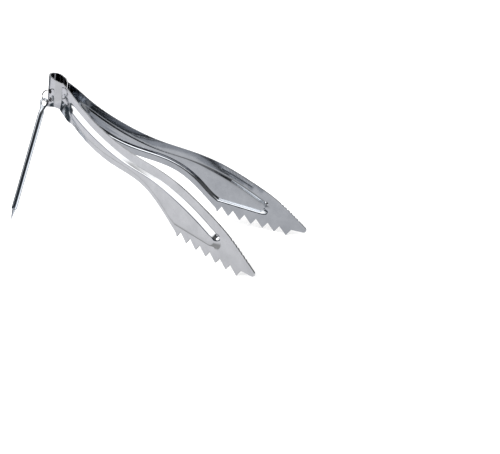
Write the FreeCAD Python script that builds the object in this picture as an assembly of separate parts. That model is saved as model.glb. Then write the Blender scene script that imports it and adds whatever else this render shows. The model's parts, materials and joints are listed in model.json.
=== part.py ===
"""Spring tongs: one stamped strip (bow and two toothed arms), a split ring and a pick.

The tongs are drawn in the strip's own frame: x runs from the bow to the jaws,
y across the tongs, z parallel to the bends. An arm is drawn flat as u along it,
v across it (parallel to z) and w out of its outer face. At the end everything is
leaned over to the stance in which the jaw teeth and the pick's point share the
ground, and the origin is put at the middle of the footprint.
"""
import FreeCAD, Part

import math
import os
from FreeCAD import Placement, Rotation, Vector

# Driving dimensions, mm and degrees.
SHEET = 0.8
STANCE_LEAN = 4.35

# Bow: a narrow U whose walls step in to the waist. Its bends are square to the strip,
# which already slopes there, so they tilt about a line across the tongs at TILT_Z.
BOW_END_X = 0.6
BEND_R = 4.1
WALL_END_X = 8.2
WAIST_X = 12.0
WAIST_Y = 2.0
BOW_TOP = [(-2, 6.0), (4, 4.7), (9, 2.6), (14, 0.0)]
BOW_BOTTOM = [(14, -17.3), (12, -16.2), (10.5, -15.25), (9, -14.5), (4, -14.5), (-2, -16.0)]
BOW_TILT = 11.0
TILT_Z = -7.5
HINGE_GAP = 0.06
STEP_SHORT = 0.15

# Arms: straight in plan, opened from the centre plane, curved edgewise. Both edges start
# on the tilted waist crease, at the root's top and bottom.
ARM_OPENING = 10.5
ROOT_TOP = 0.7
ROOT_BOTTOM = -15.3
KNUCKLE_SHORT = 0.05
ARM_TOP = [(6, -1.6), (14, -6.8), (27, -13.8), (44, -20.4), (63, -25.2),
           (82, -27.9), (100, -31.9), (119, -39.4), (138, -49.4), (153.4, -61.2)]
ARM_BOTTOM = [(98.6, -60.6), (95, -57.4), (88, -51.3), (75, -42.6), (62, -38.8),
              (44, -36.3), (27, -31.5), (14, -25.2), (6, -20.2)]
NOSE_TIP = (154.2, -62.9)
NOSE_CHIN = (152.6, -64.4)

# Saw teeth along the jaw's lower edge, the row sagging slightly from a straight line.
TEETH = 7
TOOTH_PITCH = 7.22
FIRST_TIP = (99.3, -62.8)
ROW_FALL = 1.25
ROW_CURVE = 0.055
VALLEY_AHEAD = 2.9
VALLEY_RISE = 4.1

# Fine grip notches along the upper edge by the nose, and cross grooves inside the jaw.
NOTCHES = 7
NOTCH_PITCH = 1.8
NOTCH_START_U = 138.5
NOTCH_R = 0.5
NOTCH_BITE = 0.3
GROOVES = 22
GROOVE_PITCH = 0.9
GROOVE_START_U = 101.5
GROOVE_LENGTH = 2.2
GROOVE_INSET = 0.7
GROOVE_R = 0.2

# Rib pressed outwards: its foot on the sheet, and its crest RIB_DEPTH further out.
RIB_DEPTH = 2.0
FOOT_UPPER = [(9, -8.6), (14, -11.3), (27, -18.1), (44, -24.9), (63, -30.3),
              (82, -33.1), (100, -37.1), (119, -44.7), (128.5, -49.9)]
FOOT_END = (131.8, -54.6)
FOOT_JAW = [(129.6, -58.5), (99.0, -55.6)]
FOOT_LOWER = [(99.0, -55.6), (95, -53.2), (88, -47.2), (75, -38.8), (62, -35.0),
              (44, -32.5), (27, -27.7), (14, -21.5), (10, -19.0)]
FOOT_START = (6.9, -13.0)
CREST_UPPER = [(13, -14.2), (17, -16.6), (27, -21.6), (44, -27.9), (63, -32.2),
               (82, -34.9), (100, -40.7), (117, -48.0), (124.5, -51.8)]
CREST_END = (127.4, -54.8)
CREST_JAW = [(125.0, -57.0), (99.6, -54.4)]
CREST_LOWER = [(99.6, -54.4), (95.8, -51.9), (89, -46.0), (75, -37.4), (62, -33.7),
               (44, -31.0), (27, -26.2), (16, -20.8), (13, -19.0)]
CREST_START = (11.2, -16.2)
DIMPLE_AT = (129.0, -51.6)
DIMPLE_R = 1.2
DIMPLE_W = 2.0

# Split ring through two holes in the bow's wall, its plane turned out from the wall.
RING_HOLES_X = 4.9
RING_Z = -7.4
RING_R = 3.4
RING_WIRE_R = 0.32
RING_OUT = 2.3
RING_TURN = 80.0
RING_HOLE_R = 1.4

# Pick: a rod with a flattened eye, a shoulder and a spike.
EYE_ANGLE = 232.0
EYE_R = 3.0
EYE_HOLE_R = 1.75
EYE_THICK = 1.0
EYE_DROP = 1.12
PICK_LENGTH = 74.39
ROD_R = 1.65
NECK_LENGTH = 4.0
NECK_R = 1.25
SPIKE_LENGTH = 7.0
SPIKE_R = 1.15
SPIKE_TIP_R = 0.15
PICK_LEAN = 21.77
PICK_BEARING = -107.05
EYE_TURN = 8.0


def flat(points, w=0.0):
    """Points of the flat arm, as vectors in the plane at height w."""
    return [Vector(u, w, v) for u, v in points]


def spline(points, w=0.0):
    """Smooth edge through the points."""
    curve = Part.BSplineCurve()
    curve.interpolate(flat(points, w))
    return curve.toShape()


def polyline(points, w=0.0):
    """Straight edges joining the points."""
    ends = flat(points, w)
    return [Part.LineSegment(a, b).toShape() for a, b in zip(ends, ends[1:])]


def arc(start, middle, end, w=0.0):
    """Circular edge through three points."""
    return Part.Arc(*flat([start, middle, end], w)).toShape()


def tooth_row():
    """Tips and valleys of the saw teeth, from the first tip to the last valley."""
    points = []
    for i in range(TEETH):
        u = FIRST_TIP[0] + TOOTH_PITCH * i
        v = FIRST_TIP[1] - ROW_FALL * i + ROW_CURVE * i * i
        points += [(u, v), (u + VALLEY_AHEAD, v + VALLEY_RISE)]
    return points


def root_u(v):
    """Where the tilted waist crease crosses height v, along the arm."""
    return (v - TILT_Z) * math.tan(math.radians(BOW_TILT))


def arm_top():
    """Points of the arm's upper edge, from its root."""
    return [(root_u(ROOT_TOP), ROOT_TOP)] + ARM_TOP


def arm_blank():
    """The arm's flat blank, with its teeth, nose and grip notches."""
    w = -SHEET / 2
    root_bottom = (root_u(ROOT_BOTTOM), ROOT_BOTTOM)
    edges = [spline(arm_top(), w), arc(ARM_TOP[-1], NOSE_TIP, NOSE_CHIN, w)]
    edges += polyline([NOSE_CHIN] + tooth_row()[::-1] + [ARM_BOTTOM[0]], w)
    edges += [spline(ARM_BOTTOM + [root_bottom], w)]
    edges += polyline([root_bottom, arm_top()[0]], w)
    blank = Part.Face(Part.Wire(edges)).extrude(Vector(0, SHEET, 0))
    return blank.cut(grip_notches()).cut(grip_grooves())


def top_edge(u):
    """Point of the arm's upper edge at u, and the edge's direction there."""
    curve = spline(arm_top()).Curve
    line = Part.LineSegment(Vector(u, 0, 20), Vector(u, 0, -90))
    point = curve.intersectCC(line)[0]
    place = Vector(point.X, point.Y, point.Z)
    return place, Vector(*curve.tangent(curve.parameter(place))[0])


def grip_notches():
    """Small round bites taken out of the jaw's upper edge."""
    bites = []
    for i in range(NOTCHES):
        place, _ = top_edge(NOTCH_START_U + NOTCH_PITCH * i)
        centre = place + Vector(0, -SHEET, NOTCH_R - NOTCH_BITE)
        bites.append(Part.makeCylinder(NOTCH_R, 2 * SHEET, centre, Vector(0, 1, 0)))
    return Part.makeCompound(bites)


def grip_grooves():
    """Shallow grooves across the jaw's upper flange, on its inner face."""
    grooves = []
    for i in range(GROOVES):
        place, along = top_edge(GROOVE_START_U + GROOVE_PITCH * i)
        inward = Vector(along.z, 0, -along.x)
        if inward.z > 0:
            inward = -inward
        start = place + inward * GROOVE_INSET + Vector(0, -SHEET / 2, 0)
        grooves.append(Part.makeCylinder(GROOVE_R, GROOVE_LENGTH, start, inward))
    return Part.makeCompound(grooves)


def rib_outline(upper, end, jaw, lower, start, w):
    """Closed outline of the rib at height w."""
    edges = [spline(upper, w), arc(upper[-1], end, jaw[0], w)]
    edges += polyline(jaw, w)
    edges += [spline(lower, w), arc(lower[-1], start, upper[0], w)]
    return Part.Wire(edges)


def rib_block(base):
    """Solid of the rib's height, standing on the plane w = base."""
    foot = rib_outline(FOOT_UPPER, FOOT_END, FOOT_JAW, FOOT_LOWER, FOOT_START, base)
    crest = rib_outline(CREST_UPPER, CREST_END, CREST_JAW, CREST_LOWER, CREST_START, base + RIB_DEPTH)
    return Part.makeLoft([foot, crest], True, True)


def waist_cylinder(radius, top, bottom):
    """Cylinder along the waist crease, in the arm's own plane."""
    start = Vector(root_u(bottom), 0, bottom)
    along = Vector(root_u(top), 0, top) - start
    return Part.makeCylinder(radius, along.Length, start, along)


def waist_direction():
    """Unit vector up the left waist crease."""
    tilt = math.radians(BOW_TILT)
    return arm_placement().Rotation.multVec(Vector(math.sin(tilt), 0, math.cos(tilt)))


def arm_placement():
    """Places the flat arm at the waist, opened by its angle."""
    return Placement(Vector(WAIST_X, WAIST_Y, 0), Rotation(Vector(0, 0, 1), ARM_OPENING))


def left_arm():
    """Arm on the +y side: blank, hollow rib, dimple and rounded root."""
    ribbed = arm_blank().fuse(rib_block(SHEET / 2)).cut(rib_block(-SHEET / 2))
    dimple = Part.makeSphere(DIMPLE_R, Vector(DIMPLE_AT[0], DIMPLE_W, DIMPLE_AT[1]))
    knuckle = waist_cylinder(SHEET / 2, ROOT_TOP - KNUCKLE_SHORT, ROOT_BOTTOM + KNUCKLE_SHORT)
    arm = ribbed.cut(dimple).fuse(knuckle).removeSplitter()
    arm.Placement = arm_placement()
    return arm


def wall_run(start, end, height, bottom):
    """Upright strip of sheet along a straight run in plan."""
    run = Vector(end[0] - start[0], end[1] - start[1], 0)
    plate = Part.makeBox(run.Length, SHEET, height, Vector(0, -SHEET / 2, bottom))
    turn = Rotation(Vector(1, 0, 0), run)
    plate.Placement = Placement(Vector(start[0], start[1], 0), turn)
    return plate


def bow_band(height, bottom):
    """The bow's bent strip in plan, taller than the finished bow."""
    bend_x = BOW_END_X + BEND_R + SHEET / 2
    outer = Part.makeCylinder(BEND_R + SHEET / 2, height, Vector(bend_x, 0, bottom))
    inner = Part.makeCylinder(BEND_R - SHEET / 2, height, Vector(bend_x, 0, bottom))
    front = Part.makeBox(20, 20, height, Vector(bend_x, -10, bottom))
    band = outer.cut(inner).cut(front)
    for side in (1, -1):
        corner = (WALL_END_X, side * BEND_R)
        wall = wall_run((bend_x, side * BEND_R), corner, height, bottom)
        step = wall_run(corner, (WAIST_X - STEP_SHORT, side * (WAIST_Y + STEP_SHORT)), height, bottom)
        bend = Part.makeCylinder(SHEET / 2, height, Vector(*corner, bottom))
        band = band.fuse([wall, bend, step])
    band.rotate(Vector(WAIST_X, 0, TILT_Z), Vector(0, 1, 0), BOW_TILT)
    return band


def waist_sockets():
    """Round grooves that the arms' knuckles turn in, one each side."""
    left = waist_cylinder(SHEET / 2 + HINGE_GAP, 8, -24)
    left.Placement = arm_placement().multiply(left.Placement)
    return left.fuse(left.mirror(Vector(0, 0, 0), Vector(0, 1, 0)))


def ring_holes():
    """Two holes through the -y wall, one above the other, where the ring passes."""
    half = math.sqrt(RING_R ** 2 - RING_OUT ** 2)
    holes = []
    for z in (RING_Z - half, RING_Z + half):
        start = Vector(RING_HOLES_X, -BEND_R - SHEET, z)
        holes.append(Part.makeCylinder(RING_HOLE_R, 2 * SHEET, start, Vector(0, 1, 0)))
    return Part.makeCompound(holes)


def bow():
    """The bow: bent band trimmed to its side profile, with the ring's holes."""
    edges = [spline(BOW_TOP, -10)]
    edges += polyline([BOW_TOP[-1], BOW_BOTTOM[0]], -10)
    edges += [spline(BOW_BOTTOM, -10)]
    edges += polyline([BOW_BOTTOM[-1], BOW_TOP[0]], -10)
    profile = Part.Face(Part.Wire(edges)).extrude(Vector(0, 20, 0))
    trimmed = bow_band(34, -25).common(profile)
    return trimmed.cut(waist_sockets()).cut(ring_holes()).removeSplitter()


def ring_frame():
    """Ring centre and its in-plane outward direction, in plan."""
    turn = math.radians(RING_TURN)
    out = Vector(-math.cos(turn), -math.sin(turn), 0)
    centre = Vector(RING_HOLES_X, -BEND_R, RING_Z) + out * RING_OUT
    return centre, out


def split_ring():
    """Wire ring standing upright in the plane of the outward direction."""
    centre, out = ring_frame()
    normal = out.cross(Vector(0, 0, 1))
    return Part.makeTorus(RING_R, RING_WIRE_R, centre, normal)


def eye_point():
    """Where the pick hangs on the ring, and the ring wire's direction there."""
    centre, out = ring_frame()
    angle = math.radians(EYE_ANGLE)
    point = centre - out * (RING_R * math.cos(angle)) + Vector(0, 0, RING_R * math.sin(angle))
    tangent = out * math.sin(angle) + Vector(0, 0, math.cos(angle))
    return point, tangent


def pick_direction():
    """Unit vector from the pick's eye to its point."""
    lean = math.radians(PICK_LEAN)
    bearing = math.radians(PICK_BEARING)
    return Vector(math.sin(lean) * math.cos(bearing), math.sin(lean) * math.sin(bearing), -math.cos(lean))


def pick():
    """The pick, drawn hanging down -z from its eye's centre, then leaned."""
    eye = Part.makeCylinder(EYE_R, EYE_THICK, Vector(0, -EYE_THICK / 2, 0), Vector(0, 1, 0))
    hole = Part.makeCylinder(EYE_HOLE_R, 2 * EYE_THICK, Vector(0, -EYE_THICK, 0), Vector(0, 1, 0))
    neck_top = -EYE_R + 0.6
    neck = Part.makeCone(NECK_R, ROD_R, NECK_LENGTH, Vector(0, 0, neck_top), Vector(0, 0, -1))
    rod_top = neck_top - NECK_LENGTH
    rod_length = PICK_LENGTH + rod_top - SPIKE_LENGTH
    rod = Part.makeCylinder(ROD_R, rod_length, Vector(0, 0, rod_top), Vector(0, 0, -1))
    spike = Part.makeCone(SPIKE_R, SPIKE_TIP_R, SPIKE_LENGTH, Vector(0, 0, rod_top - rod_length),
                          Vector(0, 0, -1))
    body = eye.fuse([neck, rod, spike]).cut(hole).removeSplitter()
    body.rotate(Vector(0, 0, 0), Vector(0, 0, 1), EYE_TURN)
    lean = Rotation(Vector(0, 0, -1), pick_direction())
    point, _ = eye_point()
    hang = lean.multVec(Vector(0, 0, -EYE_DROP))
    body.Placement = Placement(point + hang, lean).multiply(body.Placement)
    return body


def stand(shapes):
    """Lean every part to the stance and centre the footprint on the origin."""
    lean = Rotation(Vector(0, 1, 0), STANCE_LEAN)
    for shape in shapes.values():
        shape.Placement = Placement(Vector(), lean).multiply(shape.Placement)
    box = Part.makeCompound(list(shapes.values())).BoundBox
    shift = Vector(-(box.XMin + box.XMax) / 2, -(box.YMin + box.YMax) / 2, -box.ZMin)
    for shape in shapes.values():
        shape.translate(shift)
    return Placement(shift, lean)


def main():
    os.makedirs("parts", exist_ok=True)
    arm = left_arm()
    shapes = {
        "bow": bow(),
        "left_arm": arm,
        "right_arm": arm.mirror(Vector(0, 0, 0), Vector(0, 1, 0)),
        "split_ring": split_ring(),
        "pick": pick(),
    }
    stance = stand(shapes)
    for name, shape in shapes.items():
        shape.exportStep(os.path.join("parts", name + ".step"))
    point, tangent = eye_point()
    places = {
        "left waist": stance.multVec(arm_placement().multVec(Vector(0, 0, TILT_Z))),
        "left waist direction": stance.Rotation.multVec(waist_direction()),
        "ring swing": stance.multVec(Vector(RING_HOLES_X, -BEND_R, RING_Z)),
        "ring swing direction": stance.Rotation.multVec(Vector(0, 0, 1)),
        "pick swing": stance.multVec(point),
        "pick swing direction": stance.Rotation.multVec(tangent),
        "strip frame origin": stance.multVec(Vector(0, 0, 0)),
    }
    for name, place in places.items():
        print(name, [round(value, 4) for value in place])


main()
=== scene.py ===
import json
import math

import bmesh
import bpy
import numpy as np
from mathutils import Euler, Matrix, Vector


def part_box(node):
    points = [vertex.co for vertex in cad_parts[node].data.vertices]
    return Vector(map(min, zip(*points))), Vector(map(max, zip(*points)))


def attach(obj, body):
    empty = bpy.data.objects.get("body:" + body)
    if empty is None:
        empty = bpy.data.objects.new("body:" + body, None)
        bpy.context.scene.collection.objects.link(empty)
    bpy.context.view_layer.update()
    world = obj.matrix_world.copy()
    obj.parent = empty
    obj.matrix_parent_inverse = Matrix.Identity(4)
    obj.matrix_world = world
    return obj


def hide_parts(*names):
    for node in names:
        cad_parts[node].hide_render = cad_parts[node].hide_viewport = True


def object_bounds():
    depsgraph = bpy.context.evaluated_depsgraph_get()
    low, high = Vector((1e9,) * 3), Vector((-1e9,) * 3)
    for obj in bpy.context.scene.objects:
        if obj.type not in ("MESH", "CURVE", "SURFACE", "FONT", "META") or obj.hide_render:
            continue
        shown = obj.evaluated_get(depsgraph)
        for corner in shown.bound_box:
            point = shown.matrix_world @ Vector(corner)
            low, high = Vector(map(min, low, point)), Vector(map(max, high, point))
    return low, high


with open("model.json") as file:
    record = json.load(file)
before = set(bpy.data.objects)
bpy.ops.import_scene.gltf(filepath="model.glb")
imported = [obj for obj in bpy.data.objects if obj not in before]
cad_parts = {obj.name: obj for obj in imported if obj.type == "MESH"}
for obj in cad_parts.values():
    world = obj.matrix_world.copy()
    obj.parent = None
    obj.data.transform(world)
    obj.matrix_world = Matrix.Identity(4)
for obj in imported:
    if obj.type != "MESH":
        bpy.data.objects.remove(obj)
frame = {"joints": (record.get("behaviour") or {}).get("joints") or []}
cad_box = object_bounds()

# The strip frame: x from the bow to the jaws, y across the tongs, z along the bends.
# Its dimensions are in millimetres, and an arm is drawn flat as u along and v across.
MM = 0.001
SHEET = 0.8
EDGE_BEVEL = 0.12
WAIST = (12.0, 2.0, -7.5)
ARM_OPENING = math.radians(10.5)

# Outline of an arm.
ARM_TOP = [(1.594, 0.7), (6, -1.6), (14, -6.8), (27, -13.8), (44, -20.4), (63, -25.2),
           (82, -27.9), (100, -31.9), (119, -39.4), (138, -49.4), (153.4, -61.2)]
ARM_BOTTOM = [(98.6, -60.6), (95, -57.4), (88, -51.3), (75, -42.6), (62, -38.8),
              (44, -36.3), (27, -31.5), (14, -25.2), (6, -20.2), (-1.516, -15.3)]
NOSE = [(153.4, -61.2), (154.2, -62.9), (152.6, -64.4)]
NOSE_ZONE = 148.5
NOSE_COLUMNS = 36
TEETH = 7
TOOTH_PITCH = 7.22
FIRST_TIP = (99.3, -62.8)
ROW_FALL = 1.25
ROW_CURVE = 0.055
VALLEY_AHEAD = 2.9
VALLEY_RISE = 4.1

# Notches in the jaw's upper edge, and the grooved grip strip inside it.
NOTCHES = 7
NOTCH_PITCH = 1.8
NOTCH_START = 138.5
NOTCH_R = 0.5
NOTCH_BITE = 0.3
GROOVES = 22
GROOVE_PITCH = 0.9
GROOVE_START = 101.5
GROOVE_INSET = 0.7
GROOVE_LENGTH = 2.2
GROOVE_DEPTH = 0.16
GROOVE_BASE = 0.35
GROOVE_RIM = 0.3

# Pressed rib: outlines of its foot and of its crest.
RIB_DEPTH = 2.0
CROWN = 0.12
CROWN_FADE = 2.0
BEND_SHARE = 0.2
FOOT_UPPER = [(9, -8.6), (14, -11.3), (27, -18.1), (44, -24.9), (63, -30.3),
              (82, -33.1), (100, -37.1), (119, -44.7), (128.5, -49.9)]
FOOT_END = (131.8, -54.6)
FOOT_JAW = [(129.6, -58.5), (99.0, -55.6)]
FOOT_LOWER = [(99.0, -55.6), (95, -53.2), (88, -47.2), (75, -38.8), (62, -35.0),
              (44, -32.5), (27, -27.7), (14, -21.5), (10, -19.0)]
FOOT_START = (6.9, -13.0)
CREST_UPPER = [(13, -14.2), (17, -16.6), (27, -21.6), (44, -27.9), (63, -32.2),
               (82, -34.9), (100, -40.7), (117, -48.0), (124.5, -51.8)]
CREST_END = (127.4, -54.8)
CREST_JAW = [(125.0, -57.0), (99.6, -54.4)]
CREST_LOWER = [(99.6, -54.4), (95.8, -51.9), (89, -46.0), (75, -37.4), (62, -33.7),
               (44, -31.0), (27, -26.2), (16, -20.8), (13, -19.0)]
CREST_START = (11.2, -16.2)
DIMPLE_AT = (129.0, -51.6)
DIMPLE_R = 1.55
DIMPLE_DEPTH = 1.3
DIMPLE_POWER = 1.6
DIMPLE_REACH = 2.0

# The lower sheet leans outwards a little round the waist, below a sloping line.
FLARE_FROM = -9.3
FLARE_FALL = 0.4
FLARE_SLOPE = 0.18
FLARE_SOFT = 0.5
FLARE_REACH = (6.0, 10.0)

# An arm starts on the tilted waist crease, and its grid is upright from here on.
ROOT_SLANT_END = 8.0

# An arm's grid: steps along it, and rows between its guide lines from top to bottom.
FINE_STEP = 0.16
PLAIN_STEP = 0.55
BAND_ROWS = [16, 12, 12, 9, 8]
GUIDE_GAP = 0.5
GUIDE_EASE = 0.8
EVEN_SHARES = (0.28, 0.46, 0.69, 0.85)
RIB_ZONE = (7.0, 131.0)
RIB_FADE = 8.0
ROOT_ROUNDING = 9
EDGE_ROUNDS = 8

# Bow: its plan, and the upper and lower edges seen from the side.
BOW_END_X = 0.6
BEND_R = 4.1
WALL_END_X = 8.2
CORNER_R = 0.7
BOW_TOP = [(-2, 6.0), (4, 4.7), (9, 2.6), (14, 0.0)]
BOW_BOTTOM = [(14, -17.3), (12, -16.2), (10.5, -15.25), (9, -14.5), (4, -14.5), (-2, -16.0)]
BOW_TILT = math.radians(11.0)
BOW_COLUMNS = 110
BOW_ROWS = 40
BOW_INSIDE = (8.0, 0.0, -6.0)

# Ring and pick.
RING_R = 3.4
RING_OUT = 2.3
RING_TURN = math.radians(80.0)
RING_HOLE_R = 1.4
WIRE_R = 0.2
WIRE_ENDS = (0.3, 0.3 + 4 * math.pi - 0.35)
WIRE_STEP = (0.42, 0.12)
EYE_R = 3.0
EYE_HOLE_R = 1.75
EYE_THICK = 1.0
EYE_BLEND = math.radians(52)
EYE_EDGE = 0.5
EYE_RIM = 0.3
EYE_DROP = 1.12
EYE_TURN = math.radians(8.0)
ROD_R = 1.65
NECK_LENGTH = 4.0
NECK_R = 1.25
NECK_POWER = 2.2
SPIKE_LENGTH = 7.0
SPIKE_R = 1.15
SPIKE_TIP_R = 0.15

# Camera, from the strip frame's origin.
CAMERA_AT = (284.76, -256.44, 67.10)
CAMERA_TURN = (65.81, 0.0, 29.68)
CAMERA_LENS = 43.2
SENSOR = 36.0

# Reflected room: colour by height, a dark band that hangs lower ahead, a shaded -y side,
# one dark spot and the lights. The spot and each light are an azimuth, an elevation, an
# inner and an outer angle in degrees, and a strength.
STUDIO_BANDS = [
    (-1.0, (0.33, 0.33, 0.33)), (-0.65, (0.36, 0.36, 0.36)), (-0.42, (0.74, 0.74, 0.76)),
    (-0.30, (0.78, 0.78, 0.80)), (-0.16, (0.80, 0.80, 0.84)), (-0.11, (0.10, 0.12, 0.14)),
    (0.0, (0.02, 0.03, 0.04)), (0.25, (0.03, 0.035, 0.04)), (0.4, (0.12, 0.12, 0.12)),
]
DARK_DROP = 0.25
DROP_AHEAD = (0.35, 0.65)
SIDE_SHADE = 0.95
SIDE_REACH = (-0.92, -0.7)
DARK_SPOT = (150, -14, 12, 26, 0.92)
STUDIO_LOBES = [
    (-125, 38, 18, 32, 1.4),
    (-95, 62, 10, 25, 1.2),
    (-138, 14, 4, 14, 0.85),
    (0, 90, 26, 36, 1.5),
    (120, 24, 8, 25, 0.9),
    (15, -32, 20, 38, 1.0),
]

# What the camera itself sees: pale surroundings, a pale floor and one soft light.
PALE_STRENGTH = 1.25
FLOOR_TONE = (0.95, 0.95, 0.95, 1)
KEY_AT = (-0.3, -0.45, 0.5)
KEY_SIZE = 0.5
KEY_POWER = 6.0

# Steels: darkest and lightest tone of the cloudy plating, roughness from and to,
# depth of the polishing lines and of the slight waves. The inner and loop steels are
# darker copies of the pressed steel, painted shade inside the arms and the bow.
STEELS = {
    "pressed_steel": ((0.66, 0.67, 0.69), (0.76, 0.77, 0.79), (0.07, 0.13), 0.1, 0.015),
    # Arms' inner faces: the pressed steel darkened, painted shade for their dim inside.
    "inner_steel_painted_shade": ((0.48, 0.50, 0.53), (0.58, 0.60, 0.63), (0.07, 0.13), 0.1, 0.01),
    # Inside of the bow: nearly black steel, painted shade for the dark inside of the loop.
    "loop_steel_painted_shade": ((0.10, 0.10, 0.11), (0.15, 0.15, 0.16), (0.07, 0.13), 0.1, 0.01),
    "sheared_edge": ((0.40, 0.41, 0.43), (0.60, 0.61, 0.63), (0.25, 0.4), 0.5, 0.0),
    "plated_rod": ((0.46, 0.49, 0.53), (0.56, 0.59, 0.63), (0.08, 0.18), 0.3, 0.05),
    "ring_wire_steel": ((0.10, 0.10, 0.11), (0.17, 0.17, 0.18), (0.25, 0.38), 0.3, 0.0),
}
POLISH_STRETCH = (60, 1400, 1400)
POLISH_TURN = math.radians(18)
CLOUD_SCALE = 140.0
WAVE_SCALE = 55.0


def joint(name):
    """The frame's joint of that name."""
    return next(j for j in frame["joints"] if j["name"] == name)


def strip_matrix():
    """From strip millimetres to the row frame's metres, found from the joints."""
    up = Vector(joint("ring_swing")["axis"]).normalized()
    across = Vector((0, 1, 0))
    turn = Matrix((across.cross(up), across, up)).transposed()
    left = Vector(joint("left_flex")["pos_m"])
    right = Vector(joint("right_flex")["pos_m"])
    middle = (left + right) / 2
    origin = middle - turn @ Vector((WAIST[0], 0, WAIST[2])) * MM
    return Matrix.Translation(origin) @ turn.to_4x4() @ Matrix.Scale(MM, 4)


STRIP = strip_matrix()


def placed(points, matrix):
    """Points (array of any shape, last axis xyz) moved by a matrix."""
    matrix = np.array(matrix)
    return points @ matrix[:3, :3].T + matrix[:3, 3]


def to_row(points):
    """Strip points in the row frame."""
    return placed(points, STRIP)


def arm_to_strip(points, side):
    """Arm points (u, w, v) in the strip frame, for the arm on that side."""
    u, w, v = points[..., 0], points[..., 1], points[..., 2]
    x = WAIST[0] + u * math.cos(ARM_OPENING) - w * math.sin(ARM_OPENING)
    y = WAIST[1] + u * math.sin(ARM_OPENING) + w * math.cos(ARM_OPENING)
    return np.stack([x, side * y, v], axis=-1)


def smooth_line(points):
    """Function v(u) of the smooth curve through the points."""
    u, v = np.array(sorted(points), float).T
    step = np.diff(u)
    count = len(u)
    system, right = np.eye(count), np.zeros(count)
    for i in range(1, count - 1):
        system[i, i - 1:i + 2] = step[i - 1], 2 * (step[i - 1] + step[i]), step[i]
        right[i] = 6 * ((v[i + 1] - v[i]) / step[i] - (v[i] - v[i - 1]) / step[i - 1])
    bend = np.linalg.solve(system, right)

    def line(at):
        i = np.clip(np.searchsorted(u, at) - 1, 0, count - 2)
        a, b = (u[i + 1] - at) / step[i], (at - u[i]) / step[i]
        curve = (a ** 3 - a) * bend[i] + (b ** 3 - b) * bend[i + 1]
        return a * v[i] + b * v[i + 1] + curve * step[i] ** 2 / 6

    return line


def arc_points(start, middle, end, count=24):
    """Points of the circular arc through three points."""
    a, b, c = (complex(*p) for p in (start, middle, end))
    w = (c - a) / (b - a)
    centre = (b - a) * (w - abs(w) ** 2) / (2j * w.imag) + a
    first = np.angle(a - centre)
    full = 2 * math.pi
    sweep = (np.angle(c - centre) - first) % full
    if (np.angle(b - centre) - first) % full > sweep:
        sweep -= full
    turn = first + sweep * np.linspace(0, 1, count)
    return np.stack([centre.real + abs(a - centre) * np.cos(turn),
                     centre.imag + abs(a - centre) * np.sin(turn)], axis=-1)


def curve_points(points, count=90):
    """Points along the smooth curve through the points, in their order."""
    line = smooth_line(points)
    u = np.linspace(points[0][0], points[-1][0], count)
    return np.stack([u, line(u)], axis=-1)


def rib_outline(upper, end, jaw, lower, start):
    """Closed outline of the rib, as one polyline."""
    return np.concatenate([curve_points(upper), arc_points(upper[-1], end, jaw[0]),
                           np.array(jaw), curve_points(lower),
                           arc_points(lower[-1], start, upper[0])])


def distance_to(outline, points):
    """Distance of each point from a closed polyline."""
    a = outline
    d = np.roll(outline, -1, axis=0) - a
    length = np.maximum((d ** 2).sum(-1), 1e-12)
    best = np.full(len(points), np.inf)
    for start, along, size in zip(a, d, length):
        t = np.clip((points - start) @ along / size, 0, 1)
        gap = points - start - t[:, None] * along
        best = np.minimum(best, (gap ** 2).sum(-1))
    return np.sqrt(best)


def inside(outline, points):
    """Whether each point is inside a closed polyline."""
    a, b = outline, np.roll(outline, -1, axis=0)
    odd = np.zeros(len(points), bool)
    for (u0, v0), (u1, v1) in zip(a, b):
        if v0 != v1:
            crosses = (v0 > points[:, 1]) != (v1 > points[:, 1])
            at = u0 + (points[:, 1] - v0) * (u1 - u0) / (v1 - v0)
            odd ^= crosses & (points[:, 0] < at)
    return odd


def pressed(share):
    """Height of a bent wall, 0 to 1 across it, with a rounded bend at each end."""
    r = BEND_SHARE
    s = np.clip(share, 0, 1)
    low = s ** 2 / (2 * r * (1 - r))
    high = 1 - (1 - s) ** 2 / (2 * r * (1 - r))
    return np.where(s < r, low, np.where(s > 1 - r, high, (s - r / 2) / (1 - r)))


FOOT = rib_outline(FOOT_UPPER, FOOT_END, FOOT_JAW, FOOT_LOWER, FOOT_START)
CREST = rib_outline(CREST_UPPER, CREST_END, CREST_JAW, CREST_LOWER, CREST_START)


def rib_height(points):
    """Height of the pressed sheet over the flat blank at each (u, v)."""
    to_foot, to_crest = distance_to(FOOT, points), distance_to(CREST, points)
    on_crest = inside(CREST, points)
    share = to_foot / np.maximum(to_foot + to_crest, 1e-9)
    share = np.where(on_crest, 1.0, np.where(inside(FOOT, points), share, 0.0))
    crown = np.where(on_crest, 1 - np.exp(-to_crest / CROWN_FADE), 0.0)
    away = np.hypot(points[:, 0] - DIMPLE_AT[0], points[:, 1] - DIMPLE_AT[1]) / DIMPLE_R
    dimple = np.clip(1 - away ** 2, 0, None) ** DIMPLE_POWER
    return RIB_DEPTH * pressed(share) + CROWN * crown - DIMPLE_DEPTH * dimple


def tooth_row():
    """Tips and valleys of the saw teeth."""
    points = []
    for i in range(TEETH):
        u = FIRST_TIP[0] + TOOTH_PITCH * i
        v = FIRST_TIP[1] - ROW_FALL * i + ROW_CURVE * i * i
        points += [(u, v), (u + VALLEY_AHEAD, v + VALLEY_RISE)]
    return points


def lower_edge(u):
    """The arm's lower edge at u: the smooth edge, then the teeth up to the chin."""
    corners = [ARM_BOTTOM[0]] + tooth_row() + [NOSE[2]]
    along, across = np.array(corners).T
    return np.where(u < along[0], smooth_line(ARM_BOTTOM)(u), np.interp(u, along, across))


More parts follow.
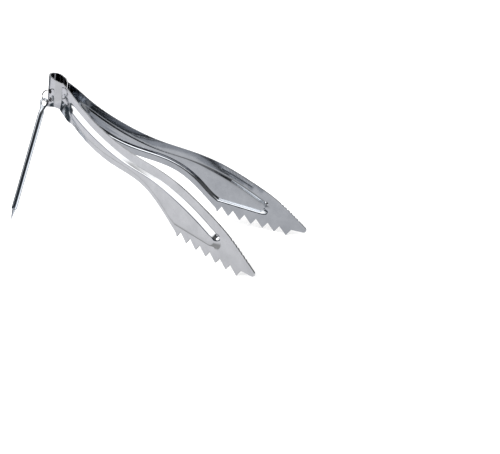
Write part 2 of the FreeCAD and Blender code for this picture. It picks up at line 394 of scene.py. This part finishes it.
def upper_edge(u):
    """The arm's upper edge at u, with its small notches."""
    plain = smooth_line(ARM_TOP)
    edge = plain(u)
    for i in range(NOTCHES):
        centre = NOTCH_START + NOTCH_PITCH * i
        reach = NOTCH_R ** 2 - (u - centre) ** 2
        bite = plain(centre) + NOTCH_R - NOTCH_BITE - np.sqrt(np.maximum(reach, 0))
        edge = np.where(reach > 0, np.minimum(edge, bite), edge)
    return edge


def columns():
    """Places along the arm where its grid has a column, closer where detail is fine."""
    dimple = (DIMPLE_AT[0] - DIMPLE_REACH, DIMPLE_AT[0] + DIMPLE_REACH)
    grooves = (GROOVE_START - 1, GROOVE_START + GROOVES * GROOVE_PITCH)
    notches = NOTCH_START - 1
    marks = [0.0, grooves[0], *dimple, notches, NOSE_ZONE] + [u for u, _ in tooth_row()]
    marks = sorted(u for u in marks if u <= NOSE_ZONE)
    places = []
    for a, b in zip(marks, marks[1:]):
        fine = a >= notches or any(low <= a < high for low, high in (grooves, dimple))
        count = max(1, math.ceil((b - a) / (FINE_STEP if fine else PLAIN_STEP)))
        places += list(np.linspace(a, b, count, endpoint=False))
    return np.array(places + [NOSE_ZONE])


def guide(outline, u, choose):
    """Upper (choose is max) or lower (min) crossing of an outline at each u."""
    low, high = outline[:, 0].min(), outline[:, 0].max()
    ends = np.roll(outline, -1, axis=0)
    found = []
    for at in np.clip(u, low + 0.05, high - 0.05):
        hit = (outline[:, 0] - at) * (ends[:, 0] - at) <= 0
        hit &= outline[:, 0] != ends[:, 0]
        a, b = outline[hit], ends[hit]
        crossings = a[:, 1] + (at - a[:, 0]) * (b[:, 1] - a[:, 1]) / (b[:, 0] - a[:, 0])
        found.append(choose(crossings))
    return np.array(found)


def eased(values, places, reach):
    """Values averaged over a stretch of the arm, so that grid lines stay smooth."""
    near = np.maximum(0, 1 - np.abs(places[:, None] - places) / reach)
    weight = near * np.gradient(places)
    return (weight @ values) / weight.sum(1)


def root_slant(u, v):
    """Shift along the arm that starts it on the tilted waist crease."""
    return (v - WAIST[2]) * math.tan(BOW_TILT) * np.clip(1 - u / ROOT_SLANT_END, 0, 1)


def slanted_edge(edge, u):
    """Height of an edge on each column, the first columns being slanted."""
    v = edge(u)
    for _ in range(EDGE_ROUNDS):
        v = edge(u + root_slant(u, v))
    return v


def arm_grid():
    """Grid of (u, v) points over the arm, its rows following the rib's bends."""
    u = columns()
    top, bottom = slanted_edge(upper_edge, u), slanted_edge(lower_edge, u)
    lines = [guide(FOOT, u, np.max), guide(CREST, u, np.max),
             guide(CREST, u, np.min), guide(FOOT, u, np.min)]
    lines = [eased(line, u, GUIDE_EASE) for line in lines]
    middle = (lines[1] + lines[2]) / 2
    for k, share in enumerate((1.5, 0.5, -0.5, -1.5)):
        spread = middle + share * GUIDE_GAP
        apart = np.maximum if share > 0 else np.minimum
        lines[k] = apart(lines[k], spread)
    beyond = np.maximum((u - RIB_ZONE[1]) / RIB_FADE, (RIB_ZONE[0] - u) / RIB_FADE)
    past_rib = np.clip(beyond, 0, 1)
    for k, share in enumerate(EVEN_SHARES):
        even = top + share * (bottom - top)
        lines[k] = lines[k] + past_rib * (even - lines[k])
    lines = [top] + lines + [bottom]
    across = []
    for k, rows in enumerate(BAND_ROWS):
        for step in range(rows):
            across.append(lines[k] + (lines[k + 1] - lines[k]) * step / rows)
    v = np.stack(across + [bottom], axis=1)
    grid_u = np.repeat(u[:, None], v.shape[1], axis=1)
    return np.stack([grid_u + root_slant(grid_u, v), v], axis=-1)


def flare(away, height):
    """Outward lean of the lower sheet, away from the waist crease and at a height."""
    under = np.maximum(FLARE_FROM - FLARE_FALL * away - height, 0)
    start, end = FLARE_REACH
    fade = np.clip((end - away) / (end - start), 0, 1)
    return FLARE_SLOPE * under ** 2 / (under + FLARE_SOFT) * fade ** 2 * (3 - 2 * fade)


def nose_cap(grid):
    """Columns from the nose zone to the rounded nose itself."""
    start = grid[-1]
    share = (start[:, 1] - start[0, 1]) / (start[-1, 1] - start[0, 1])
    rounded = arc_points(*NOSE, count=200)
    place = np.linspace(0, 1, 200)
    tip = np.stack([np.interp(share, place, rounded[:, k]) for k in (0, 1)], axis=-1)
    straight = tip[0] + share[:, None] * (tip[-1] - tip[0])
    added = []
    for t in np.linspace(0, 1, NOSE_COLUMNS + 1)[1:]:
        top_u = start[0, 0] + t * (tip[0, 0] - start[0, 0])
        low_u = start[-1, 0] + t * (tip[-1, 0] - start[-1, 0])
        top = np.array([top_u, upper_edge(np.array([top_u]))[0]])
        low = np.array([low_u, lower_edge(np.array([low_u]))[0]])
        column = top + share[:, None] * (low - top)
        added.append(column + t ** 2 * (tip - straight))
    return np.concatenate([grid, np.array(added)])


def groove_depth(points, top):
    """Depth of the grooved grip strip at each point of the inner face."""
    along = (points[..., 0] - GROOVE_START) / GROOVE_PITCH
    down = top - points[..., 1]
    wave = 0.5 + 0.5 * np.cos(2 * math.pi * along)
    ends = np.clip(along + 0.5, 0, 1) * np.clip(GROOVES - 0.5 - along, 0, 1)
    rim = np.clip((down - GROOVE_INSET) / GROOVE_RIM, 0, 1)
    rim *= np.clip((GROOVE_INSET + GROOVE_LENGTH - down) / GROOVE_RIM, 0, 1)
    return GROOVE_DEPTH * (GROOVE_BASE + (1 - GROOVE_BASE) * wave) * ends * rim


def normals_of(surface):
    """Unit normals of a grid surface."""
    along, across = np.gradient(surface, axis=0), np.gradient(surface, axis=1)
    normal = np.cross(along, across)
    return normal / np.linalg.norm(normal, axis=-1, keepdims=True)


def soften(piece, width):
    """Small rounded bevel on the piece's sharp edges, its width in millimetres."""
    bevel = piece.modifiers.new("edge", "BEVEL")
    bevel.width = width * MM
    bevel.segments = 2
    bevel.limit_method = "ANGLE"
    bevel.angle_limit = math.radians(40)
    bevel.harden_normals = True


def mesh_object(name, vertices, groups, materials):
    """Smooth mesh of groups of faces, one group to each material."""
    mesh = bpy.data.meshes.new(name)
    faces = [face for group in groups for face in group]
    mesh.from_pydata([tuple(p) for p in vertices], [], faces)
    for material in materials:
        mesh.materials.append(material)
    index = np.repeat(np.arange(len(groups)), [len(group) for group in groups])
    mesh.polygons.foreach_set("material_index", index.astype(np.int32))
    tidy = bmesh.new()
    tidy.from_mesh(mesh)
    bmesh.ops.recalc_face_normals(tidy, faces=tidy.faces)
    tidy.to_mesh(mesh)
    tidy.free()
    mesh.shade_smooth()
    piece = bpy.data.objects.new(name, mesh)
    bpy.context.scene.collection.objects.link(piece)
    return piece


def grid_faces(first, columns_count, rows_count):
    """Quads of a grid whose vertices start at an index."""
    faces = []
    for i in range(columns_count - 1):
        for j in range(rows_count - 1):
            a = first + i * rows_count + j
            faces.append((a, a + 1, a + rows_count + 1, a + rows_count))
    return faces


def sheet_shell(name, outer, inner, caps, materials):
    """Closed sheet between two grids, with caps as rows of points over its first end.

    The materials are those of its outer face, its inner face and its cut edges.
    """
    count, rows = outer.shape[:2]
    base = count * rows
    grids = [outer.reshape(-1, 3), inner.reshape(-1, 3)]
    outer_faces, inner_faces = grid_faces(0, count, rows), grid_faces(base, count, rows)
    rim = []
    for i in range(count - 1):
        for j in (0, rows - 1):
            a, b = i * rows + j, (i + 1) * rows + j
            rim.append((a, b, base + b, base + a))
    last = (count - 1) * rows
    for j in range(rows - 1):
        rim.append((last + j, last + j + 1, base + last + j + 1, base + last + j))
    rings = [list(range(rows))]
    start = 2 * base
    for cap in caps:
        grids.append(cap)
        rings.append(list(range(start, start + rows)))
        start += rows
    rings.append(list(range(base, base + rows)))
    for near, far in zip(rings, rings[1:]):
        for j in range(rows - 1):
            outer_faces.append((near[j], near[j + 1], far[j + 1], far[j]))
    for end in (0, rows - 1):
        fan = [ring[end] for ring in rings]
        if len(fan) > 3:
            rim.append(tuple(fan))
    return mesh_object(name, np.concatenate(grids), [outer_faces, inner_faces, rim], materials)


def arm(name, side, materials):
    """One arm of the tongs: pressed rib, teeth, notches, grip strip and rounded root."""
    grid = nose_cap(arm_grid())
    flat = grid.reshape(-1, 2)
    height = rib_height(flat).reshape(grid.shape[:2])
    height += flare(np.abs(grid[..., 0]), grid[..., 1])
    middle = np.stack([grid[..., 0], height, grid[..., 1]], axis=-1)
    normal = normals_of(middle)
    normal *= np.sign(normal[..., 1:2])
    outer = middle + normal * SHEET / 2
    depth = groove_depth(grid, smooth_line(ARM_TOP)(grid[..., 0]))
    inner = middle - normal * (SHEET / 2 - depth[..., None])
    back = middle[0] - middle[1]
    back /= np.linalg.norm(back, axis=-1, keepdims=True)
    surfaces = [outer, inner]
    for turn in np.linspace(0, math.pi, ROOT_ROUNDING)[1:-1]:
        spoke = math.cos(turn) * normal[0] + math.sin(turn) * back
        surfaces.append(middle[0] + SHEET / 2 * spoke)
    outer, inner, *caps = (to_row(arm_to_strip(points, side)) for points in surfaces)
    piece = sheet_shell(name, outer, inner, caps, materials)
    soften(piece, EDGE_BEVEL)
    return piece


def corner(before, at, after, radius, count=7):
    """Rounded corner of a plan path, as points."""
    a, b, c = (np.array(p, float) for p in (before, at, after))
    one, two = (a - b) / np.linalg.norm(a - b), (c - b) / np.linalg.norm(c - b)
    half = math.acos(np.clip(one @ two, -1, 1)) / 2
    reach = radius / math.tan(half)
    t = np.linspace(0, 1, count)[:, None]
    p, q = b + one * reach, b + two * reach
    return (1 - t) ** 2 * p + 2 * t * (1 - t) * b + t ** 2 * q


def bow_plan():
    """The bow's centre line seen from above, from the left waist to the right one."""
    bend_x = BOW_END_X + BEND_R + SHEET / 2
    waist, wall = (WAIST[0], WAIST[1]), (WALL_END_X, BEND_R)
    turn = np.linspace(math.pi / 2, 3 * math.pi / 2, 41)
    bend = np.stack([bend_x + BEND_R * np.cos(turn), BEND_R * np.sin(turn)], axis=-1)
    half = np.concatenate([[waist], corner(waist, wall, bend[0], CORNER_R)])
    mirrored = half[::-1] * np.array([1, -1])
    rough = np.concatenate([half, bend, mirrored])
    run = np.concatenate([[0], np.cumsum(np.linalg.norm(np.diff(rough, axis=0), axis=1))])
    even = np.linspace(0, run[-1], BOW_COLUMNS)
    return np.stack([np.interp(even, run, rough[:, k]) for k in (0, 1)], axis=-1)


def tilted(x, z):
    """Side-view place of a bow point, after the bends' tilt about the waist."""
    dx, dz = x - WAIST[0], z - WAIST[2]
    return (WAIST[0] + dx * math.cos(BOW_TILT) + dz * math.sin(BOW_TILT),
            WAIST[2] - dx * math.sin(BOW_TILT) + dz * math.cos(BOW_TILT))


def upright_height(x, edge):
    """Height along the bends at which the band meets an edge of the side view."""
    z = edge(x)
    for _ in range(EDGE_ROUNDS):
        at, height = tilted(x, z)
        z = z + edge(at) - height
    return z


def bow_grid():
    """Middle surface of the bow as a grid in the strip frame."""
    plan = bow_plan()
    top = upright_height(plan[:, 0], smooth_line(BOW_TOP))
    bottom = upright_height(plan[:, 0], smooth_line(BOW_BOTTOM))
    share = np.linspace(0, 1, BOW_ROWS)
    z = top[:, None] + (bottom - top)[:, None] * share
    x = np.repeat(plan[:, :1], BOW_ROWS, axis=1)
    y = np.repeat(plan[:, 1:], BOW_ROWS, axis=1)
    across, height = tilted(x, z)
    lean = flare(np.abs(across - WAIST[0]), height)
    return np.stack([across, y + np.sign(y) * lean, height], axis=-1)


def apply_modifiers(piece):
    """Replace the piece's mesh by what its modifiers make of it."""
    made = bpy.data.meshes.new_from_object(
        piece.evaluated_get(bpy.context.evaluated_depsgraph_get()))
    piece.modifiers.clear()
    piece.data = made


def ring_hole_cutter(place):
    """Cylinder across the bow's wall, to cut one of the ring's holes."""
    bpy.ops.mesh.primitive_cylinder_add(vertices=48, radius=RING_HOLE_R * MM,
                                        depth=4 * SHEET * MM)
    cutter = bpy.context.object
    cutter.matrix_world = STRIP.normalized() @ Matrix.Translation(Vector(place) * MM)
    cutter.matrix_world = cutter.matrix_world @ Matrix.Rotation(math.pi / 2, 4, "X")
    return cutter


def ring_frame():
    """Middle of the ring's holes, its centre and its outward direction, in the strip."""
    holes = STRIP.inverted() @ Vector(joint("ring_swing")["pos_m"])
    out = Vector((-math.cos(RING_TURN), -math.sin(RING_TURN), 0))
    return holes, holes + out * RING_OUT, out


def bow(materials):
    """The bow: a bent band with the ring's two holes in its -y wall."""
    middle = bow_grid()
    normal = normals_of(middle)
    outward = middle - np.array(BOW_INSIDE)
    outward[..., 2] = 0
    normal *= np.sign((normal * outward).sum(-1, keepdims=True))
    outer, inner = (middle + side * normal * SHEET / 2 for side in (1, -1))
    piece = sheet_shell("bow_shell", to_row(outer), to_row(inner), [], materials)
    holes, _, _ = ring_frame()
    reach = math.sqrt(RING_R ** 2 - RING_OUT ** 2)
    cutters = []
    for side in (-1, 1):
        cutter = ring_hole_cutter(holes + Vector((0, 0, side * reach)))
        cut = piece.modifiers.new("hole", "BOOLEAN")
        cut.object = cutter
        cutters.append(cutter)
    apply_modifiers(piece)
    for cutter in cutters:
        bpy.data.objects.remove(cutter)
    soften(piece, EDGE_BEVEL)
    return piece


def ring_faces(rings, sides):
    """Faces that join rings of points into a closed tube."""
    faces = []
    for i in range(rings - 1):
        for j in range(sides):
            k = (j + 1) % sides
            a, b = i * sides, (i + 1) * sides
            faces.append((a + j, a + k, b + k, b + j))
    last = (rings - 1) * sides
    return faces + [tuple(range(sides)), tuple(range(last, last + sides))]


def tube(name, path, radii, material, sides=24):
    """Round closed-ended tube along a path of points, in the row frame's metres."""
    path = np.array(path)
    along = np.gradient(path, axis=0)
    along /= np.linalg.norm(along, axis=1, keepdims=True)
    side = np.cross(along[0], [0.3, 0.5, 0.8])
    rings = []
    for point, ahead, radius in zip(path, along, radii):
        side = side - ahead * (side @ ahead)
        side /= np.linalg.norm(side)
        other = np.cross(ahead, side)
        turn = np.linspace(0, 2 * math.pi, sides, endpoint=False)[:, None]
        rings.append(point + radius * (np.cos(turn) * side + np.sin(turn) * other))
    faces = ring_faces(len(rings), sides)
    return mesh_object(name, np.concatenate(rings), [faces], [material])


def split_ring(material):
    """Two turns of spring wire lying side by side."""
    _, centre, out = ring_frame()
    normal = np.array(out.cross(Vector((0, 0, 1))))
    turn = np.linspace(*WIRE_ENDS, 240)
    share = (turn - turn[0]) / (turn[-1] - turn[0])
    step = np.clip((share - WIRE_STEP[0]) / WIRE_STEP[1], 0, 1)
    shift = WIRE_R * (2 * step ** 2 * (3 - 2 * step) - 1)
    points = np.array(centre) + RING_R * (
        np.cos(turn)[:, None] * np.array(out) + np.sin(turn)[:, None] * np.array([0, 0, 1]))
    points = points + shift[:, None] * normal
    return tube("ring_wire", to_row(points), np.full(len(turn), WIRE_R * MM), material)


def pick_profile(length):
    """Stations of the pick from its eye's top down: place, half width, half thickness."""
    stations = []
    for turn in np.linspace(0.03, math.pi - EYE_BLEND, 26):
        width = EYE_R * math.sin(turn)
        edge = 1 - math.exp(-width / EYE_EDGE)
        stations.append((EYE_R * math.cos(turn), width, EYE_THICK / 2 * edge))
    start, width, thick = stations[-1]
    neck_end = -EYE_R - NECK_LENGTH
    for t in np.linspace(0, 1, 16)[1:]:
        ease = t * t * (3 - 2 * t)
        waist = NECK_R + (width - NECK_R) * (1 - t) ** NECK_POWER
        stations.append((start + (neck_end - start) * t,
                         waist + (ROD_R - waist) * ease,
                         thick + (ROD_R - thick) * ease))
    shoulder = -(length - SPIKE_LENGTH)
    stations += [(z, ROD_R, ROD_R) for z in np.linspace(neck_end, shoulder + 0.3, 30)[1:]]
    rounded = [(0.12, ROD_R - 0.04), (0, ROD_R - 0.16), (-0.02, SPIKE_R + 0.06)]
    stations += [(shoulder + rise, radius, radius) for rise, radius in rounded]
    for t in np.linspace(0, 1, 12):
        radius = SPIKE_R + (SPIKE_TIP_R - SPIKE_R) * t
        stations.append((shoulder - 0.1 - (SPIKE_LENGTH - 0.2) * t, radius, radius))
    stations.append((-length, SPIKE_TIP_R * 0.4, SPIKE_TIP_R * 0.4))
    return stations


def pick_matrix():
    """Matrix that places the pick, drawn down -z from its eye, and its length in mm."""
    low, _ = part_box("pick")
    point = low + Vector((SPIKE_TIP_R, SPIKE_TIP_R, 0)) * MM
    eye = Vector(joint("pick_swing")["pos_m"])
    ahead = STRIP.to_3x3().inverted() @ (point - eye)
    lean = Vector((0, 0, -1)).rotation_difference(ahead.normalized()).to_matrix().to_4x4()
    at = STRIP.inverted() @ eye + lean @ Vector((0, 0, -EYE_DROP))
    turn = Matrix.Rotation(EYE_TURN, 4, "Z")
    return STRIP @ Matrix.Translation(at) @ lean @ turn, ahead.length - EYE_DROP


def pick(material):
    """The pick: a flattened eye that runs into a rod, a shoulder and a spike."""
    matrix, length = pick_matrix()
    sides = 48
    turn = np.linspace(0, 2 * math.pi, sides, endpoint=False)
    rings = []
    for z, width, thick in pick_profile(length):
        ring = [width * np.cos(turn), thick * np.sin(turn), np.full(sides, z)]
        rings.append(np.stack(ring, axis=-1))
    vertices = placed(np.concatenate(rings), matrix)
    faces = ring_faces(len(rings), sides)
    piece = mesh_object("pick_body", vertices, [faces], [material])
    cutter = eye_cutter(matrix)
    cut = piece.modifiers.new("eye", "BOOLEAN")
    cut.object = cutter
    apply_modifiers(piece)
    bpy.data.objects.remove(cutter)
    piece.data.shade_smooth()
    return piece


def eye_cutter(matrix):
    """Spool-shaped cutter for the pick's eye, flared so that the hole's rims are round."""
    sides = 48
    turn = np.linspace(0, 2 * math.pi, sides, endpoint=False)
    rings = []
    for share in np.linspace(-1, 1, 15):
        radius = EYE_HOLE_R + EYE_RIM * abs(share) ** 4
        ring = [radius * np.cos(turn), np.full(sides, share * EYE_THICK * 0.6),
                radius * np.sin(turn)]
        rings.append(np.stack(ring, axis=-1))
    vertices = placed(np.concatenate(rings), matrix)
    return mesh_object("eye_cutter", vertices, [ring_faces(len(rings), sides)], [])


def node(tree, kind, links=(), **inputs):
    """Shader node with its inputs set, and (input, source) pairs linked."""
    made = tree.nodes.new(kind)
    for name, value in inputs.items():
        made.inputs[name.replace("_", " ")].default_value = value
    for name, source in links:
        tree.links.new(source, made.inputs[name])
    return made


def steel(name, dark, light, rough, scratch, waves):
    """Polished plated steel: cloudy plating, lengthwise polishing lines and slight waves."""
    material = bpy.data.materials.new(name)
    material.use_nodes = True
    tree = material.node_tree
    shader = tree.nodes["Principled BSDF"]
    shader.inputs["Metallic"].default_value = 1.0
    place = tree.nodes.new("ShaderNodeTexCoord").outputs["Object"]
    lines = node(tree, "ShaderNodeMapping", [("Vector", place)], Scale=POLISH_STRETCH,
                 Rotation=(0, POLISH_TURN, 0))
    polish = node(tree, "ShaderNodeTexNoise", [("Vector", lines.outputs["Vector"])], Scale=1.0,
                  Detail=3.0, Roughness=0.6)
    cloud = node(tree, "ShaderNodeTexNoise", [("Vector", place)], Scale=CLOUD_SCALE,
                 Detail=4.0, Roughness=0.6)
    tone = node(tree, "ShaderNodeValToRGB", [("Fac", cloud.outputs["Fac"])])
    for stop, colour, at in zip(tone.color_ramp.elements, (dark, light), (0.3, 0.7)):
        stop.color = (*colour, 1)
        stop.position = at
    tree.links.new(tone.outputs["Color"], shader.inputs["Base Color"])
    both = node(tree, "ShaderNodeMath", [(0, polish.outputs["Fac"]), (1, cloud.outputs["Fac"])])
    sheen = node(tree, "ShaderNodeMapRange", [("Value", both.outputs["Value"])], From_Min=0.7,
                 From_Max=1.3, To_Min=rough[0], To_Max=rough[1])
    tree.links.new(sheen.outputs["Result"], shader.inputs["Roughness"])
    broad = node(tree, "ShaderNodeTexNoise", [("Vector", place)], Scale=WAVE_SCALE, Detail=1.0)
    wave = node(tree, "ShaderNodeBump", [("Height", broad.outputs["Fac"])], Strength=waves,
                Distance=0.002)
    fine = node(tree, "ShaderNodeBump", [("Height", polish.outputs["Fac"]),
                                         ("Normal", wave.outputs["Normal"])],
                Strength=scratch, Distance=0.00005)
    tree.links.new(fine.outputs["Normal"], shader.inputs["Normal"])
    return material


def toward(azimuth, elevation):
    """Unit vector of a direction given in degrees."""
    turn, rise = math.radians(azimuth), math.radians(elevation)
    level = math.cos(rise)
    return Vector((level * math.cos(turn), level * math.sin(turn), math.sin(rise)))


def lobe(tree, direction, azimuth, elevation, inner, outer, strength):
    """Soft round patch of studio light in a direction, its angles in degrees."""
    facing = node(tree, "ShaderNodeVectorMath", [(0, direction)])
    facing.operation = "DOT_PRODUCT"
    facing.inputs[1].default_value = toward(azimuth, elevation)
    patch = node(tree, "ShaderNodeMapRange", [("Value", facing.outputs["Value"])],
                 From_Min=math.cos(math.radians(outer)), From_Max=math.cos(math.radians(inner)),
                 To_Min=0.0, To_Max=strength)
    patch.interpolation_type = "SMOOTHSTEP"
    return patch.outputs["Result"]


def bands(tree, direction):
    """Brightness of the reflected room by height: pale below, nearly black from the
    horizon up and dim above. The dark hangs lower ahead of the jaws.
    """
    parts = node(tree, "ShaderNodeSeparateXYZ", [("Vector", direction)])
    ahead = node(tree, "ShaderNodeMapRange", [("Value", parts.outputs["X"])],
                 From_Min=DROP_AHEAD[0], From_Max=DROP_AHEAD[1], To_Min=0.0, To_Max=DARK_DROP)
    height = node(tree, "ShaderNodeMath", [(0, parts.outputs["Z"]), (1, ahead.outputs["Result"])])
    share = node(tree, "ShaderNodeMapRange", [("Value", height.outputs["Value"])], From_Min=-1.0,
                 From_Max=1.0)
    ramp = node(tree, "ShaderNodeValToRGB", [("Fac", share.outputs["Result"])])
    stops = ramp.color_ramp.elements
    while len(stops) < len(STUDIO_BANDS):
        stops.new(0.5)
    for stop, (z, colour) in zip(stops, STUDIO_BANDS):
        stop.position = (z + 1) / 2
        stop.color = (*colour, 1)
    return ramp.outputs["Color"]


def studio():
    """Pale surroundings for the camera, and soft light and dark for what is reflected."""
    world = bpy.data.worlds.new("studio")
    world.use_nodes = True
    tree = world.node_tree
    tree.nodes.clear()
    direction = tree.nodes.new("ShaderNodeTexCoord").outputs["Generated"]
    patches = [lobe(tree, direction, *settings) for settings in STUDIO_LOBES]
    total = patches[0]
    for patch in patches[1:]:
        total = node(tree, "ShaderNodeMath", [(0, total), (1, patch)]).outputs["Value"]
    parts = node(tree, "ShaderNodeSeparateXYZ", [("Vector", direction)])
    shade = node(tree, "ShaderNodeMapRange", [("Value", parts.outputs["Y"])],
                 From_Min=SIDE_REACH[0], From_Max=SIDE_REACH[1], To_Min=SIDE_SHADE, To_Max=1.0)
    spot = lobe(tree, direction, *DARK_SPOT)
    level = node(tree, "ShaderNodeMath", [(0, shade.outputs["Result"]), (1, spot)])
    level.operation = "SUBTRACT"
    level.use_clamp = True
    room = node(tree, "ShaderNodeBackground", [("Color", bands(tree, direction)),
                                               ("Strength", level.outputs["Value"])])
    lamps = node(tree, "ShaderNodeBackground", [("Strength", total)], Color=(1, 1, 1, 1))
    both = node(tree, "ShaderNodeAddShader", [(0, room.outputs["Background"]),
                                              (1, lamps.outputs["Background"])])
    pale = node(tree, "ShaderNodeBackground", Color=(1, 1, 1, 1),
                Strength=PALE_STRENGTH)
    reflected = tree.nodes.new("ShaderNodeLightPath").outputs["Is Glossy Ray"]
    mixed = node(tree, "ShaderNodeMixShader", [("Fac", reflected), (1, pale.outputs["Background"]),
                                               (2, both.outputs["Shader"])])
    output = tree.nodes.new("ShaderNodeOutputWorld")
    tree.links.new(mixed.outputs["Shader"], output.inputs["Surface"])
    bpy.context.scene.world = world


def floor():
    """Plain pale floor at the ground plane."""
    bpy.ops.mesh.primitive_plane_add(size=40)
    ground = bpy.context.object
    ground.name = "floor"
    material = bpy.data.materials.new("floor_white")
    material.use_nodes = True
    shader = material.node_tree.nodes["Principled BSDF"]
    shader.inputs["Base Color"].default_value = FLOOR_TONE
    shader.inputs["Roughness"].default_value = 0.6
    shader.inputs["Specular IOR Level"].default_value = 0.0
    ground.data.materials.append(material)
    ground.visible_glossy = False


def soft_light(name, at, size, power):
    """Square soft light aimed at the middle of the object."""
    light = bpy.data.lights.new(name, "AREA")
    light.size = size
    light.energy = power
    lamp = bpy.data.objects.new(name, light)
    lamp.visible_glossy = False
    bpy.context.scene.collection.objects.link(lamp)
    low, high = cad_box
    centre = (low + high) / 2
    lamp.location = centre + Vector(at)
    lamp.rotation_euler = (centre - lamp.location).to_track_quat("-Z", "Y").to_euler()


def camera():
    """Camera at the viewing angle that the object is shown from."""
    data = bpy.data.cameras.new("camera")
    data.lens = CAMERA_LENS
    data.sensor_width = SENSOR
    data.sensor_fit = "HORIZONTAL"
    data.clip_start = 0.01
    made = bpy.data.objects.new("camera", data)
    bpy.context.scene.collection.objects.link(made)
    origin = STRIP.to_translation()
    made.location = origin + Vector(CAMERA_AT) * MM
    made.rotation_euler = Euler([math.radians(a) for a in CAMERA_TURN])
    bpy.context.scene.camera = made


def main():
    """Build every piece, its surroundings, the light and the camera."""
    steels = [steel(name, *look) for name, look in STEELS.items()]
    # back is the arms' inner-face steel, a darker copy of the sheet steel: painted shade.
    sheet, back, painted_loop_shade, edge, rod, wire = steels
    pieces = [
        # The bow's inner face takes nearly black steel: painted shade inside the loop.
        (bow([sheet, painted_loop_shade, edge]), "bow", "bow", "tongs_steel"),
        (arm("left_arm_shell", 1, [sheet, back, edge]), "left_arm", "left_arm", "tongs_steel"),
        (arm("right_arm_shell", -1, [sheet, back, edge]), "right_arm", "right_arm", "tongs_steel"),
        (split_ring(wire), "ring", "split_ring", "ring_wire"),
        (pick(rod), "pick", "pick", "pick_steel"),
    ]
    for piece, body, replaced, slot in pieces:
        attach(piece, body)
        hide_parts(replaced)
    floor()
    studio()
    soft_light("key", KEY_AT, KEY_SIZE, KEY_POWER)
    camera()
    bpy.context.scene.view_settings.view_transform = "Standard"


main()
